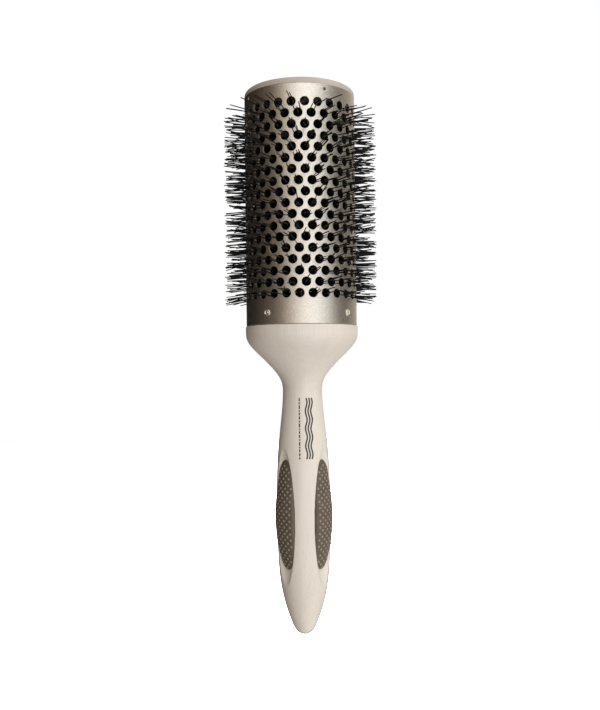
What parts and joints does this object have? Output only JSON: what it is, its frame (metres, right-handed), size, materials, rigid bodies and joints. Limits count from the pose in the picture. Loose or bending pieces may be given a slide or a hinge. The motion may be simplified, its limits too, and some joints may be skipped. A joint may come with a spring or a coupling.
{
  "type": "round barrel brush",
  "caption": "Vented round barrel hair brush: perforated metal tube with nylon bristles, pale wood handle with rubber grip pads.",
  "frame": {"origin": "tip of the handle, on the brush's axis", "axes": "+Z along the brush's axis from the handle's tip to the end cap; -Y is the front, between two of the grip pads, which sit 50 degrees to its left and 54 degrees to its right; +X to the right seen from the front"},
  "size_m": [0.072, 0.072, 0.2596],
  "materials": {
    "wood": "satin, sealed pale beech, fine straight grain",
    "barrel_metal": "satin champagne anodised, fine sparkle",
    "cap_plastic": "satin beige moulding",
    "core_steel": "galvanised drawn wire",
    "nylon": "black nylon filament",
    "rubber": "dark taupe, raised dots",
    "fastener_brass": "polished"
  },
  "bodies": {
    "root": {"handle": "wood", "barrel": "barrel_metal", "end_cap": "cap_plastic", "core_wire_a": "core_steel", "core_wire_b": "core_steel", "bristle_row_01": "nylon", "bristle_row_02": "nylon", "bristle_row_03": "nylon", "bristle_row_04": "nylon", "bristle_row_05": "nylon", "bristle_row_06": "nylon", "bristle_row_07": "nylon", "bristle_row_08": "nylon", "bristle_row_09": "nylon", "bristle_row_10": "nylon", "bristle_row_11": "nylon", "bristle_row_12": "nylon", "bristle_row_13": "nylon", "bristle_row_14": "nylon", "bristle_row_15": "nylon", "bristle_row_16": "nylon", "bristle_row_17": "nylon", "bristle_row_18": "nylon", "grip_pad_left": "rubber", "grip_pad_right": "rubber", "grip_pad_back": "rubber", "barrel_nails": "fastener_brass", "cap_pins": "fastener_brass"}
  },
  "joints": []
}
